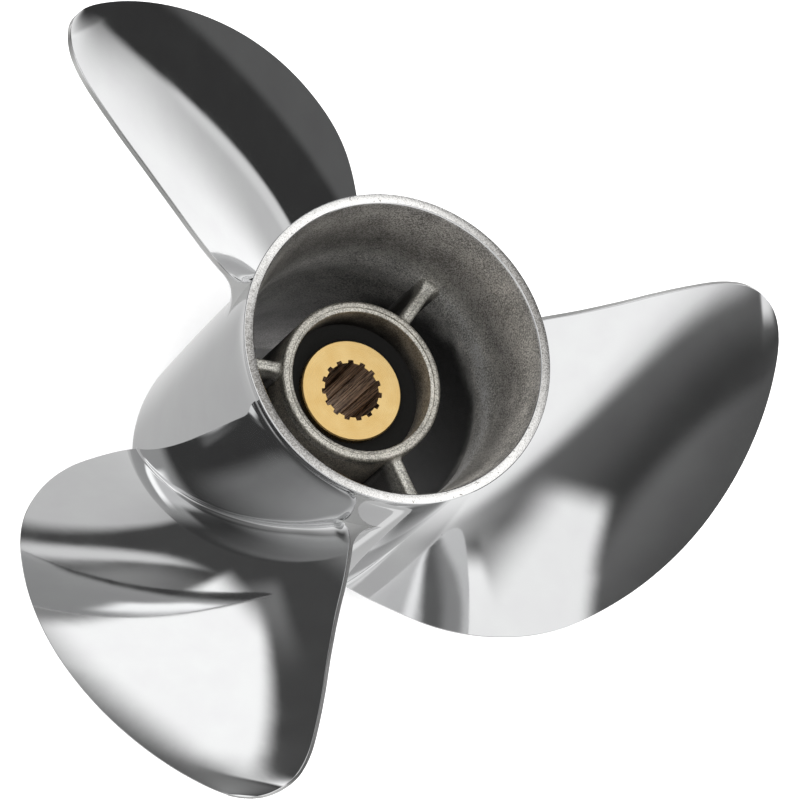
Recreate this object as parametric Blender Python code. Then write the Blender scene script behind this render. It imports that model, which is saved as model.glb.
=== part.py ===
"""Three-bladed outboard motor propeller whose exhaust leaves through the hub.

The propeller stands on its forward end. The shaft axis is Z and +Z points aft, towards the
flared exhaust end. The origin is on the shaft axis, in the plane of the forward end.
The barrel, flare, hub tube, ribs and blades are one steel casting on the real propeller.
Here each is a node of its own, and neighbours keep a small gap.
"""

import math

import bmesh
import bpy
from mathutils import Vector

# Driving dimensions in metres, angles in degrees
GAP = 0.0003
BLADE_COUNT = 3
RIB_COUNT = 3

BARREL_LENGTH = 0.165
FRONT_RADIUS = 0.0608
FRONT_ROUNDING = 0.0045
WAIST_RADIUS = 0.0583
WAIST_HEIGHT = 0.140
RIM_RADIUS = 0.0635
RIM_INNER_RADIUS = 0.0594
RIM_ROUNDING = 0.0006
THROAT_RADIUS = 0.0536
THROAT_HEIGHT = 0.112
PASSAGE_RADIUS = 0.0550
PASSAGE_HEIGHT = 0.100
PASSAGE_BEND_SHARE = 0.55
BARREL_STATIONS = (0.045, 0.080, 0.105, 0.125)

TUBE_TOP = 0.1227
TUBE_BOTTOM = 0.012
TUBE_RADIUS_TOP = 0.0336
TUBE_RADIUS_BOTTOM = 0.0354
TUBE_BORE_RADIUS = 0.0291
TUBE_LIP_ROUNDING = 0.0021

BUSH_BOTTOM = 0.016
BUSH_TOP = 0.1065
SLEEVE_BOTTOM = 0.014
SLEEVE_TOP = 0.1102
SLEEVE_RADIUS = 0.0212
SLEEVE_CHAMFER = 0.0005
SPLINE_COUNT = 15
SPLINE_MAJOR_RADIUS = 0.0127
SPLINE_MINOR_RADIUS = 0.0114
SPLINE_MOUTH_SHARE = 0.25
SPLINE_FLOOR_SHARE = 0.17

RIB_THICKNESS = 0.005
RIB_ROOT_THICKNESS = 0.009
RIB_BOTTOM = 0.016
RIB_TOP = 0.1205
RIB_FILLET_NEAR = 0.0012
RIB_FILLET_FAR = 0.0034
RIB_FILLET_NARROWING = 0.7
RIB_CREST_SHARES = (0.0, 0.5, 0.85, 1.0)
RIB_CREST_WIDTH = 0.2
FIRST_RIB_ANGLE = 60

# Blade outline: degrees round the axis of the leading and trailing edge, at even steps of a
# quarter sine from the barrel to the tip, so that the last steps close in a round tip.
TIP_RADIUS = 0.1834
BLADE_EDGES = (
    (64.6, 150.2),
    (70.5, 148.4),
    (75.4, 146.5),
    (81.1, 145.4),
    (87.9, 144.8),
    (97.1, 144.2),
    (106.7, 143.5),
    (116.2, 142.3),
    (124.5, 140.4),
    (131.0, 138.1),
    (135.2, 135.2),
)
# The aft face: its pitch and rake at the root and how they change over the rake span outwards
RAKE_RADIUS = 0.060
RAKE_SPAN = 0.125
PITCH_AT_ROOT = 0.4455
PITCH_GAIN = 0.0598
PITCH_CURVE = -0.0256
RAKE_ANGLE_DEGREES = 101.2
RAKE_HEIGHT_AT_ROOT = 0.0567
RAKE_GAIN = 0.028
RAKE_CURVE = 0.0161
RAKE_BEND = -0.0097
# The cup: how far the trailing edge curls aft of the helix
CUP_AT_ROOT = 0.0032
CUP_AT_TIP = 0.0019
CUP_POWER = 4

ROOT_THICKNESS = 0.0078
TIP_THICKNESS = 0.0024
FULL_CHORD = 0.060
LEADING_EDGE_THICKNESS = 0.0010
LEADING_EDGE_BULGE = 0.9
TRAILING_EDGE_THICKNESS = 0.0020
TRAILING_EDGE_BULGE = 0.25
TRAILING_EDGE_SLANT = 0.0007

# The root fillet: its height on the blade and its width on the barrel, which is wide under the
# leading edge and fades out towards the trailing edge on the aft side
FILLET_HEIGHT = 0.0055
FILLET_WIDTH = 0.0036
LEADING_FILLET_WIDTH = 0.0075
LEADING_FILLET_SHARE = 0.35
TRAILING_FILLET_WIDTH = 0.0012
TRAILING_FILLET_SHARE = 0.25
ROOT_FLOOR = 1.5 * GAP
ROOT_FOLLOW_HEIGHT = 0.020

# Mesh fineness
MERGE_DISTANCE = 0.000001
RING_STEPS = 60
CHORD_STEPS = 14
SPAN_ROWS = 15
TIP_TURN = 88.5
FILLET_ROWS = 3
ROOT_FOLDS = (1.0, 2 / 3, 1 / 3)
CAP_STEPS = 2
ROUNDING_STEPS = 4
FLARE_STEPS = 4
SHARP_ANGLE = 35


def make_material(name, colour, metallic, roughness):
    """Returns a Principled material."""
    material = bpy.data.materials.new(name)
    material.use_nodes = True
    shader = material.node_tree.nodes["Principled BSDF"]
    shader.inputs["Base Color"].default_value = (*colour, 1.0)
    shader.inputs["Metallic"].default_value = metallic
    shader.inputs["Roughness"].default_value = roughness
    return material


def add_object(name, mesh, material):
    """Links a mesh to the scene with smooth round faces and crisp corners."""
    mesh.materials.append(material)
    mesh.shade_smooth()
    mesh.set_sharp_from_angle(angle=math.radians(SHARP_ANGLE))
    piece = bpy.data.objects.new(name, mesh)
    bpy.context.collection.objects.link(piece)
    return piece


def loops_to_mesh(name, loops, closed_stack, capped=True):
    """Skins a stack of closed point loops. A capped stack gets a flat face at each end."""
    shape = bmesh.new()
    rows = [[shape.verts.new(point) for point in loop] for loop in loops]
    pairs = list(zip(rows, rows[1:]))
    if closed_stack:
        pairs.append((rows[-1], rows[0]))
    for low, high in pairs:
        for i in range(len(low)):
            j = (i + 1) % len(low)
            shape.faces.new((low[i], low[j], high[j], high[i]))
    if capped and not closed_stack:
        shape.faces.new(rows[0])
        shape.faces.new(rows[-1])
    bmesh.ops.remove_doubles(shape, verts=shape.verts, dist=MERGE_DISTANCE)
    bmesh.ops.recalc_face_normals(shape, faces=shape.faces)
    bmesh.ops.triangulate(shape, faces=[face for face in shape.faces if len(face.verts) > 4])
    mesh = bpy.data.meshes.new(name)
    shape.to_mesh(mesh)
    shape.free()
    return mesh


def arc(centre_r, centre_z, radius, start, end, steps):
    """Returns profile points (r, z) on an arc, angles in degrees from +r towards +Z."""
    points = []
    for i in range(steps + 1):
        angle = math.radians(start + (end - start) * i / steps)
        points.append((centre_r + radius * math.cos(angle), centre_z + radius * math.sin(angle)))
    return points


def mix(a, b, share):
    """Returns the value a given share of the way from a to b."""
    return a + (b - a) * share


def ease(share):
    """Returns a smooth rise from 0 to 1."""
    share = min(max(share, 0.0), 1.0)
    return share * share * (3 - 2 * share)


def barrel_radius(z):
    """Returns the outer radius of the barrel at a height, from the forward end to the rim."""
    if z <= WAIST_HEIGHT:
        share = (z / WAIST_HEIGHT) ** 3
        return mix(FRONT_RADIUS, WAIST_RADIUS, share)
    share = (z - WAIST_HEIGHT) / (BARREL_LENGTH - WAIST_HEIGHT)
    return mix(WAIST_RADIUS, RIM_RADIUS, share * share)


def passage_radius(z):
    """Returns the inner radius of the barrel at a height."""
    if z <= PASSAGE_HEIGHT:
        return PASSAGE_RADIUS
    if z <= THROAT_HEIGHT:
        share = (z - PASSAGE_HEIGHT) / (THROAT_HEIGHT - PASSAGE_HEIGHT)
        return mix(PASSAGE_RADIUS, THROAT_RADIUS, ease(share))
    share = (z - THROAT_HEIGHT) / (BARREL_LENGTH - THROAT_HEIGHT)
    return mix(THROAT_RADIUS, RIM_INNER_RADIUS, share * share)


def tube_radius(z):
    """Returns the outer radius of the hub tube at a height."""
    share = (z - TUBE_BOTTOM) / (TUBE_TOP - TUBE_BOTTOM)
    return mix(TUBE_RADIUS_BOTTOM, TUBE_RADIUS_TOP, share)


def turned(name, profile, material):
    """Turns a closed profile of (r, z) points round the shaft axis."""
    loops = []
    for i in range(RING_STEPS):
        angle = 2 * math.pi * i / RING_STEPS
        loops.append([(r * math.cos(angle), r * math.sin(angle), z) for r, z in profile])
    return add_object(name, loops_to_mesh(name, loops, closed_stack=True), material)


def make_barrel(steel):
    """The straight part of the outer hub, from the forward end to the waist."""
    edge = FRONT_RADIUS - FRONT_ROUNDING
    outer = arc(edge, FRONT_ROUNDING, FRONT_ROUNDING, -90, 0, ROUNDING_STEPS)
    top = WAIST_HEIGHT - GAP / 2
    outer += [(barrel_radius(z), z) for z in BARREL_STATIONS + (top,)]
    bend = mix(THROAT_HEIGHT, top, PASSAGE_BEND_SHARE)
    inner_heights = (top, bend, THROAT_HEIGHT, PASSAGE_HEIGHT, 0.0)
    inner = [(passage_radius(z), z) for z in inner_heights]
    return turned("barrel", outer + inner, steel)


def make_flare(steel):
    """The exhaust ring that widens to the aft rim."""
    bottom = WAIST_HEIGHT + GAP / 2
    top = BARREL_LENGTH - RIM_ROUNDING
    heights = [mix(bottom, top, i / FLARE_STEPS) for i in range(FLARE_STEPS + 1)]
    outer = [(barrel_radius(z), z) for z in heights]
    inner = [(passage_radius(z), z) for z in reversed(heights)]
    rim = [
        (RIM_RADIUS - RIM_ROUNDING, BARREL_LENGTH),
        (RIM_INNER_RADIUS + RIM_ROUNDING, BARREL_LENGTH),
    ]
    return turned("exhaust_flare", outer + rim + inner, steel)


def make_hub_tube(steel):
    """The inner tube that carries the bush, with a rounded aft lip."""
    lip = TUBE_TOP - TUBE_LIP_ROUNDING
    outer_r = tube_radius(lip)
    outer = [(tube_radius(TUBE_BOTTOM), TUBE_BOTTOM)]
    outer += arc(outer_r - TUBE_LIP_ROUNDING, lip, TUBE_LIP_ROUNDING, 0, 90, ROUNDING_STEPS)
    inner_r = TUBE_BORE_RADIUS + TUBE_LIP_ROUNDING
    inner = arc(inner_r, lip, TUBE_LIP_ROUNDING, 90, 180, ROUNDING_STEPS)
    inner += [(TUBE_BORE_RADIUS, TUBE_BOTTOM)]
    return turned("hub_tube", outer + inner, steel)


def make_bush(rubber):
    """The rubber ring pressed between the hub tube and the brass sleeve."""
    outer_r = TUBE_BORE_RADIUS - GAP
    inner_r = SLEEVE_RADIUS + GAP
    profile = [
        (outer_r, BUSH_BOTTOM),
        (outer_r, BUSH_TOP),
        (inner_r, BUSH_TOP),
        (inner_r, BUSH_BOTTOM),
    ]
    return turned("rubber_bush", profile, rubber)


def make_sleeve(brass):
    """The brass sleeve, with a bore of fifteen splines for the propeller shaft."""
    tooth = 2 * math.pi / SPLINE_COUNT
    corners = (
        (-SPLINE_MOUTH_SHARE, SPLINE_MINOR_RADIUS),
        (-SPLINE_FLOOR_SHARE, SPLINE_MAJOR_RADIUS),
        (SPLINE_FLOOR_SHARE, SPLINE_MAJOR_RADIUS),
        (SPLINE_MOUTH_SHARE, SPLINE_MINOR_RADIUS),
    )
    bore = [((k + share) * tooth, radius) for k in range(SPLINE_COUNT) for share, radius in corners]

    def ring(radius_of, z):
        return [(radius_of(r) * math.cos(a), radius_of(r) * math.sin(a), z) for a, r in bore]

    def outside(r):
        return SLEEVE_RADIUS

    def chamfered(r):
        return SLEEVE_RADIUS - SLEEVE_CHAMFER

    def splines(r):
        return r

    loops = [
        ring(chamfered, SLEEVE_BOTTOM),
        ring(outside, SLEEVE_BOTTOM + SLEEVE_CHAMFER),
        ring(outside, SLEEVE_TOP - SLEEVE_CHAMFER),
        ring(chamfered, SLEEVE_TOP),
        ring(splines, SLEEVE_TOP),
        ring(splines, SLEEVE_BOTTOM),
    ]
    mesh = loops_to_mesh("brass_sleeve", loops, closed_stack=True)
    return add_object("brass_sleeve", mesh, brass)


def rib_section(z, half, root_half):
    """Returns a rib's outline at one height: thin in the middle and thicker at both ends."""
    inner_r = tube_radius(z) + 2 * GAP
    outer_r = passage_radius(z) - 2 * GAP
    waist_half = mix(root_half, half, RIB_FILLET_NARROWING)

    def on_circle(radius, y):
        return (math.sqrt(radius * radius - y * y), y, z)

    side = [
        on_circle(inner_r, root_half),
        (inner_r + RIB_FILLET_NEAR, waist_half, z),
        (inner_r + RIB_FILLET_FAR, half, z),
        (outer_r - RIB_FILLET_FAR, half, z),
        (outer_r - RIB_FILLET_NEAR, waist_half, z),
        on_circle(outer_r, root_half),
    ]
    mirrored = [(x, -y, height) for x, y, height in reversed(side)]
    return side + [(outer_r, 0, z)] + mirrored + [(inner_r, 0, z)]


def make_ribs(steel):
    """Radial plates that hold the hub tube in the barrel, with rounded aft edges."""
    half = RIB_THICKNESS / 2
    heights = [(RIB_BOTTOM, 0.0), (PASSAGE_HEIGHT, 0.0), (THROAT_HEIGHT, 0.0)]
    for share in RIB_CREST_SHARES:
        heights.append((RIB_TOP - half * (1 - share), share))
    loops = []
    for z, share in heights:
        roundness = max(math.sqrt(1 - share * share), RIB_CREST_WIDTH)
        loops.append(rib_section(z, half * roundness, RIB_ROOT_THICKNESS / 2 * roundness))
    mesh = loops_to_mesh("rib", loops, closed_stack=False)
    for k in range(RIB_COUNT):
        rib = add_object(f"rib_{k + 1}", mesh.copy(), steel)
        rib.rotation_euler.z = math.radians(FIRST_RIB_ANGLE + 360 / RIB_COUNT * k)
    bpy.data.meshes.remove(mesh)


def edge_angles(share):
    """Returns the leading and trailing edge angles by a smooth curve through the outline."""
    last = len(BLADE_EDGES) - 1
    place = min(max(share, 0.0), 1.0) * last
    i = min(int(place), last - 1)
    t = place - i
    angles = []
    for side in (0, 1):
        values = [row[side] for row in BLADE_EDGES]
        before = values[i - 1] if i > 0 else 2 * values[0] - values[1]
        after = values[i + 2] if i + 2 <= last else 2 * values[last] - values[last - 1]
        start_slope = (values[i + 1] - before) / 2
        end_slope = (after - values[i]) / 2
        angles.append(
            values[i] * (2 * t**3 - 3 * t**2 + 1)
            + start_slope * (t**3 - 2 * t**2 + t)
            + values[i + 1] * (3 * t**2 - 2 * t**3)
            + end_slope * (t**3 - t**2)
        )
    return [math.radians(angle) for angle in angles]


def face_height(radius, angle):
    """Returns the height of the helix that the blade's aft face follows."""
    out = (radius - RAKE_RADIUS) / RAKE_SPAN
    pitch = PITCH_AT_ROOT + PITCH_GAIN * out + PITCH_CURVE * out * out
    rake = RAKE_HEIGHT_AT_ROOT + RAKE_GAIN * out + RAKE_CURVE * out**2 + RAKE_BEND * out**3
    return pitch * (angle - math.radians(RAKE_ANGLE_DEGREES)) / (2 * math.pi) + rake


def blade_section(radius):
    """Returns the blade's cross-section, unrolled from its cylinder, as (arc length, z).

    The loop runs along the aft face to the trailing edge and back along the forward face.
    """
    out = (radius - FRONT_RADIUS) / (TIP_RADIUS - FRONT_RADIUS)
    lead, trail = edge_angles(math.asin(min(max(out, 0.0), 1.0)) / (math.pi / 2))
    start = Vector((radius * lead, face_height(radius, lead)))
    end = Vector((radius * trail, face_height(radius, trail)))
    chord = end - start
    along = chord.normalized() if chord.length > MERGE_DISTANCE else Vector((1.0, 0.0))
    aft = Vector((-along.y, along.x))
    back_chord = chord + along * TRAILING_EDGE_SLANT
    middle = mix(ROOT_THICKNESS, TIP_THICKNESS, out)
    narrow = min(1.0, chord.length / FULL_CHORD)
    cup = mix(CUP_AT_ROOT, CUP_AT_TIP, out) * narrow
    face, back = [], []
    for i in range(CHORD_STEPS + 1):
        c = (1 - math.cos(math.pi * i / CHORD_STEPS)) / 2
        edge = mix(LEADING_EDGE_THICKNESS, TRAILING_EDGE_THICKNESS, c)
        thick = edge + (middle - edge) * 4 * c * (1 - c) * narrow
        curl = Vector((0, cup * c**CUP_POWER))
        face.append(start + chord * c + curl)
        back.append(start + back_chord * c + curl - aft * thick)
    trailing = end_cap(face[-1], back[-1], along, TRAILING_EDGE_BULGE)
    leading = end_cap(back[0], face[0], -along, LEADING_EDGE_BULGE)
    return face + trailing + back[::-1] + leading


def end_cap(first, second, outward, bulge):
    """Returns the points that round an edge of the section between two corners."""
    centre = (first + second) / 2
    arm = first - centre
    points = []
    for i in range(1, CAP_STEPS + 1):
        angle = math.pi * i / (CAP_STEPS + 1)
        rise = outward * (arm.length * bulge * math.sin(angle))
        points.append(centre + arm * math.cos(angle) + rise)
    return points


def fillet_widths():
    """Returns the root fillet's width on the barrel for each point of a section's loop."""
    aft = []
    for i in range(CHORD_STEPS + 1):
        c = (1 - math.cos(math.pi * i / CHORD_STEPS)) / 2
        width = mix(LEADING_FILLET_WIDTH, FILLET_WIDTH, ease(c / LEADING_FILLET_SHARE))
        fade = ease((c - 1 + TRAILING_FILLET_SHARE) / TRAILING_FILLET_SHARE)
        aft.append(mix(width, TRAILING_FILLET_WIDTH, fade))
    others = len(aft) + 2 * CAP_STEPS
    return aft + [FILLET_WIDTH] * others


def grown(loop, widths, share):
    """Moves each point of an unrolled section outwards by a share of its fillet width."""
    points = []
    for i, (point, width) in enumerate(zip(loop, widths)):
        direction = (loop[(i + 1) % len(loop)] - loop[i - 1]).normalized()
        points.append(point + Vector((-direction.y, direction.x)) * (width * share))
    return points


def folded(loop, share):
    """Draws the two sides of a section together, until they meet at a share of 1."""
    caps = CAP_STEPS
    face = loop[: CHORD_STEPS + 1]
    back = loop[CHORD_STEPS + 1 + caps : 2 * CHORD_STEPS + 2 + caps][::-1]
    middle = [(a + b) / 2 for a, b in zip(face, back)]
    targets = middle + [middle[-1]] * caps + middle[::-1] + [middle[0]] * caps
    return [point.lerp(target, share) for point, target in zip(loop, targets)]


def blade_loop(height, fillet_share=0.0, fold=0.0):
    """Returns the blade's closed loop of points at a height above the barrel's surface."""
    nominal = FRONT_RADIUS + height
    loop = grown(blade_section(nominal), fillet_widths(), fillet_share)
    points = []
    for arc_length, z in folded(loop, fold):
        angle = arc_length / nominal
        follow = 1 - ease(height / ROOT_FOLLOW_HEIGHT)
        radius = nominal + (barrel_radius(z) - FRONT_RADIUS) * follow
        points.append((radius * math.cos(angle), radius * math.sin(angle), z))
    return points


def make_blades(steel):
    """The three blades, each swept from a filleted root to a round tip."""
    loops = [blade_loop(ROOT_FLOOR, 1.0, fold) for fold in ROOT_FOLDS]
    for i in range(FILLET_ROWS):
        turn = math.radians(90 * i / FILLET_ROWS)
        height = mix(FILLET_HEIGHT, ROOT_FLOOR, math.cos(turn))
        loops.append(blade_loop(height, 1 - math.sin(turn)))
    reach = TIP_RADIUS - FRONT_RADIUS
    first = math.asin(FILLET_HEIGHT / reach)
    last = math.radians(TIP_TURN)
    for i in range(SPAN_ROWS):
        height = reach * math.sin(mix(first, last, i / (SPAN_ROWS - 1)))
        loops.append(blade_loop(height))
    loops.append(blade_loop(height, fold=1.0))
    mesh = loops_to_mesh("blade", loops, closed_stack=False, capped=False)
    for k in range(BLADE_COUNT):
        blade = add_object(f"blade_{k + 1}", mesh.copy(), steel)
        blade.rotation_euler.z = 2 * math.pi / BLADE_COUNT * k
    bpy.data.meshes.remove(mesh)


def main():
    """Clears the scene and builds the propeller."""
    for old in list(bpy.data.objects):
        bpy.data.objects.remove(old)
    polished = make_material("polished_steel", (0.62, 0.62, 0.63), 1.0, 0.12)
    cast = make_material("cast_steel", (0.36, 0.34, 0.32), 1.0, 0.5)
    rubber = make_material("rubber", (0.02, 0.02, 0.02), 0.0, 0.8)
    brass = make_material("brass", (0.86, 0.66, 0.32), 1.0, 0.25)
    make_barrel(polished)
    make_flare(polished)
    make_blades(polished)
    make_hub_tube(cast)
    make_ribs(cast)
    make_bush(rubber)
    make_sleeve(brass)


main()
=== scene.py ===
import math

import bmesh
import bpy
import numpy as np
from mathutils import Matrix, Vector


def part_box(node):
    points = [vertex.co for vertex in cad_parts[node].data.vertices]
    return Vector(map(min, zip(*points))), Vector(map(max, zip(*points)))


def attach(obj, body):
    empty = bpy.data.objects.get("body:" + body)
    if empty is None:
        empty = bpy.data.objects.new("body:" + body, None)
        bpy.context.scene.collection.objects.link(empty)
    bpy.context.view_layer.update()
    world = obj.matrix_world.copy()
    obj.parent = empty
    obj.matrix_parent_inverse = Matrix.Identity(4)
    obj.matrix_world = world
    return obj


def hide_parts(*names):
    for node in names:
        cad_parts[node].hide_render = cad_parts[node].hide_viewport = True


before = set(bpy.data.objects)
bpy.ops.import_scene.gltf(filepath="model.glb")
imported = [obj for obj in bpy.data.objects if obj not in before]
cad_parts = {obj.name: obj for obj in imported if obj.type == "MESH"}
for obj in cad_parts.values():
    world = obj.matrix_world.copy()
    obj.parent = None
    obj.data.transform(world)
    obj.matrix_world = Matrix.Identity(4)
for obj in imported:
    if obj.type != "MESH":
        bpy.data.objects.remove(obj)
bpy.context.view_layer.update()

# Looks of a three-bladed, right-hand, stainless steel outboard propeller with through-hub exhaust.
# It stands on its forward end. Z is the shaft axis, and +Z points aft, to the flared end.

MM = 0.001

# Camera at the photograph's viewing angle, in metres and degrees
CAMERA_AT = Vector((-0.3874, -0.4523, 1.2694))
CAMERA_AIM = Vector((0.0225, 0.0016, 0.105))
CAMERA_ROLL = 49.06
CAMERA_LENS = 146.1
CAMERA_SENSOR = 36

# Sizes that the frame gives
FRONT_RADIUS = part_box("barrel")[1].x
WAIST_HEIGHT = (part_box("barrel")[1].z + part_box("exhaust_flare")[0].z) / 2
BARREL_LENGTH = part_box("exhaust_flare")[1].z
RIM_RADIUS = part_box("exhaust_flare")[1].x
TUBE_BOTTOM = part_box("hub_tube")[0].z
TUBE_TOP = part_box("hub_tube")[1].z
TUBE_RADIUS_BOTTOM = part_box("hub_tube")[1].x
BUSH_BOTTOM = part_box("rubber_bush")[0].z
BUSH_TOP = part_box("rubber_bush")[1].z
SLEEVE_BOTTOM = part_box("brass_sleeve")[0].z
SLEEVE_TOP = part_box("brass_sleeve")[1].z
RIB_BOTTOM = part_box("rib_1")[0].z
RIB_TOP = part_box("rib_1")[1].z

# Barrel and flare, angles in degrees
FRONT_ROUNDING = 4.5 * MM
FRONT_STRAIGHT = 8 * MM
WAIST_RADIUS = 58.3 * MM
RIM_INNER_RADIUS = 59.4 * MM
RIM_ROUNDING = 0.4 * MM
RIM_CROWN = 0.15 * MM
RIM_OUTER_EDGE = (20, 80)
RIM_INNER_EDGE = (100, 160)
# Angle round the axis at which the rim's painted reflection is darkest
RIM_PAINTED_DARK_ANGLE = 29
THROAT_RADIUS = 53.6 * MM
THROAT_HEIGHT = 112 * MM
PASSAGE_RADIUS = 55.0 * MM
PASSAGE_HEIGHT = 100 * MM

# Hub tube, bush and sleeve. The edge of the lip's bore goes by millimetres out from the bore and
# down from the step, and the splines by shares of their pitch.
TUBE_RADIUS_TOP = 33.6 * MM
TUBE_BORE_RADIUS = 29.1 * MM
TUBE_LIP_ROUNDING = 1.4 * MM
LIP_GROOVE_RADIUS = 31.0 * MM
LIP_GROOVE_WIDTH = 0.5 * MM
LIP_GROOVE_DEPTH = 0.3 * MM
LIP_GROOVE_SLANT = 0.1 * MM
LIP_STEP = 0.25 * MM
LIP_BAND = 2.5 * MM
LIP_BAND_SEAM = 0.5 * MM
LIP_BORE_EDGE = ((0.7, 0.05), (0.2, 0.3), (0.0, 0.8))
BORE_RING = 1 * MM
BUSH_DISH = 0.8 * MM
SLEEVE_RADIUS = 21.2 * MM
SLEEVE_CHAMFER = 0.5 * MM
SLEEVE_BORE_EDGE = 0.15 * MM
SPLINE_COUNT = 15
SPLINE_MAJOR_RADIUS = 12.7 * MM
SPLINE_MINOR_RADIUS = 11.4 * MM
SPLINE_MOUTH_SHARE = 0.25
SPLINE_FLOOR_SHARE = 0.20

# Ribs
RIB_COUNT = 3
FIRST_RIB_ANGLE = 60
RIB_THICKNESS = 5.0 * MM
RIB_FILLET = 2.5 * MM
RIB_HEAD_FILLET = 6.0 * MM
RIB_CREST_ROUNDING = 1.8 * MM
RIB_SINK = 0.3 * MM
RIB_FLARE = 0.7
RIB_LEAST_HALF = 0.05 * MM

# Blades. The outline is given by degrees round the axis of the leading and the trailing edge, in
# even steps of the arcsine of the share of the reach, from root to tip. Pitch and rake are in
# metres, by rising powers of the share of RAKE_SPAN beyond RAKE_RADIUS.
BLADE_COUNT = 3
TIP_RADIUS = 183.4 * MM
BLADE_EDGES = (
    (64.6, 150.2),
    (70.5, 148.4),
    (75.4, 146.5),
    (81.1, 145.4),
    (87.9, 144.8),
    (97.1, 144.2),
    (106.7, 143.5),
    (116.2, 142.3),
    (124.5, 140.4),
    (131.0, 138.1),
    (135.2, 135.2),
)
RAKE_RADIUS = 60 * MM
RAKE_SPAN = 125 * MM
PITCH = (0.4455, 0.0598, -0.0256)
RAKE = (0.0567, 0.0280, 0.0161, -0.0097)
RAKE_ANGLE = 101.2
CUP_AT_ROOT = 3.2 * MM
CUP_AT_TIP = 1.9 * MM
CUP_POWER = 4
ROOT_THICKNESS = 7.8 * MM
TIP_THICKNESS = 2.4 * MM
FULL_CHORD = 60 * MM
SMALL_CHORD = 8 * MM
LEADING_EDGE_THICKNESS = 1.0 * MM
TRAILING_EDGE_THICKNESS = 2.0 * MM
TRAILING_EDGE_SLANT = 0.7 * MM
EDGE_ROUNDING = 0.35 * MM
OUTLINE_TRIM = 0.12 * MM

# Root fillets: share of the chord from the leading edge, width along the barrel and height up
# the blade in mm, and how round the fillet is, from a bowed ramp at 0 to a quarter round at 1
FACE_FILLET = (
    (0.0, 1.0, 1.0, 1.0),
    (0.26, 1.0, 1.1, 1.0),
    (0.35, 1.9, 2.0, 1.0),
    (0.5, 2.3, 2.6, 1.0),
    (0.8, 3.1, 3.5, 1.0),
    (0.95, 4.4, 5.0, 1.0),
    (1.0, 6.2, 8.5, 1.0),
)
BACK_FILLET = ((0.0, 4.0, 4.5, 0.9), (0.75, 3.8, 5.5, 0.9), (1.0, 12.0, 9.5, 1.15))
LEADING_FILLET_WIDTH = 1.2 * MM
LEADING_FILLET_HEIGHT = 3.0 * MM
WEB_BLEND = 0.07
FOLLOW_HEIGHT = 20 * MM
SKIRT_WIDTH = 0.8 * MM
SKIRT_DEPTH = 0.25 * MM

# Floor
FLOOR_WIDTH = 10

# Mesh fineness: steps of each stretch, the gap that is merged, and the angle of a crisp corner
RING_STEPS = 240
BARREL_STEPS = 48
FLARE_STEPS = 44
RIM_STEPS = 9
TUBE_STEPS = 12
DISH_STEPS = 9
RIB_ROWS = 14
RIB_CREST_STEPS = 8
RIB_LENGTH_STEPS = 45
CHORD_STEPS = 96
SPAN_ROWS = 84
ROOT_ROWS = 24
ROOT_ZONE = 14 * MM
LAST_ROW_ANGLE = 89.6
STRIP_SHARES = (0.0, 0.06, 0.5, 0.94, 1.0)
ARC_STEPS = 6
CORNER_STEPS = 3
SKIN_MERGE = 0.002 * MM
COPY_MERGE = 0.001 * MM
CRISP_ANGLE = 35
SECOND_FINISH = "second_finish"


def mix(a, b, share):
    """Returns the value a given share of the way from a to b."""
    return a + (b - a) * share


def ease(share):
    """Returns a smooth rise from 0 to 1, of a number or an array."""
    share = np.clip(share, 0.0, 1.0)
    return share * share * (3 - 2 * share)


def finish_mesh(name, mesh):
    """Makes an object of a mesh, with smooth round faces and crisp corners."""
    mesh.shade_smooth()
    mesh.set_sharp_from_angle(angle=math.radians(CRISP_ANGLE))
    piece = bpy.data.objects.new(name, mesh)
    bpy.context.scene.collection.objects.link(piece)
    return piece


def skin(name, loops, closed=False, slots=None):
    """Skins a stack of closed loops of points and merges what meets. Slots gives each face's
    material number."""
    loops = np.asarray(loops, float)
    rows, points = loops.shape[:2]
    index = np.arange(rows * points).reshape(rows, points)
    low = index if closed else index[:-1]
    high = np.roll(index, -1, 0) if closed else index[1:]
    quads = np.stack([low, np.roll(low, -1, 1), np.roll(high, -1, 1), high], -1).reshape(-1, 4)
    mesh = bpy.data.meshes.new(name)
    mesh.from_pydata(loops.reshape(-1, 3).tolist(), [], quads.tolist())
    if slots is not None:
        mesh.polygons.foreach_set("material_index", np.asarray(slots, np.int32))
    shape = bmesh.new()
    shape.from_mesh(mesh)
    bmesh.ops.remove_doubles(shape, verts=shape.verts, dist=SKIN_MERGE)
    bmesh.ops.recalc_face_normals(shape, faces=shape.faces)
    shape.to_mesh(mesh)
    shape.free()
    return mesh


def arc(centre_r, centre_z, radius, start, end, steps=ARC_STEPS):
    """Returns profile points (r, z) on an arc, angles in degrees from +r towards +Z."""
    turns = np.radians(np.linspace(start, end, steps + 1))
    return [(centre_r + radius * math.cos(a), centre_z + radius * math.sin(a)) for a in turns]


def barrel_radius(z):
    """Returns the barrel's outer radius at a height, or at an array of heights."""
    z = np.asarray(z, float)
    straight = mix(FRONT_RADIUS, WAIST_RADIUS, (np.clip(z, 0, None) / WAIST_HEIGHT) ** 3)
    share = np.clip((z - WAIST_HEIGHT) / (BARREL_LENGTH - WAIST_HEIGHT), 0, None)
    return np.where(z <= WAIST_HEIGHT, straight, mix(WAIST_RADIUS, RIM_RADIUS, share**2))


def passage_radius(z):
    """Returns the barrel's inner radius at a height."""
    share = (z - PASSAGE_HEIGHT) / (THROAT_HEIGHT - PASSAGE_HEIGHT)
    if z <= THROAT_HEIGHT:
        return float(mix(PASSAGE_RADIUS, THROAT_RADIUS, ease(share)))
    share = (z - THROAT_HEIGHT) / (BARREL_LENGTH - THROAT_HEIGHT)
    return mix(THROAT_RADIUS, RIM_INNER_RADIUS, share**2)


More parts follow.
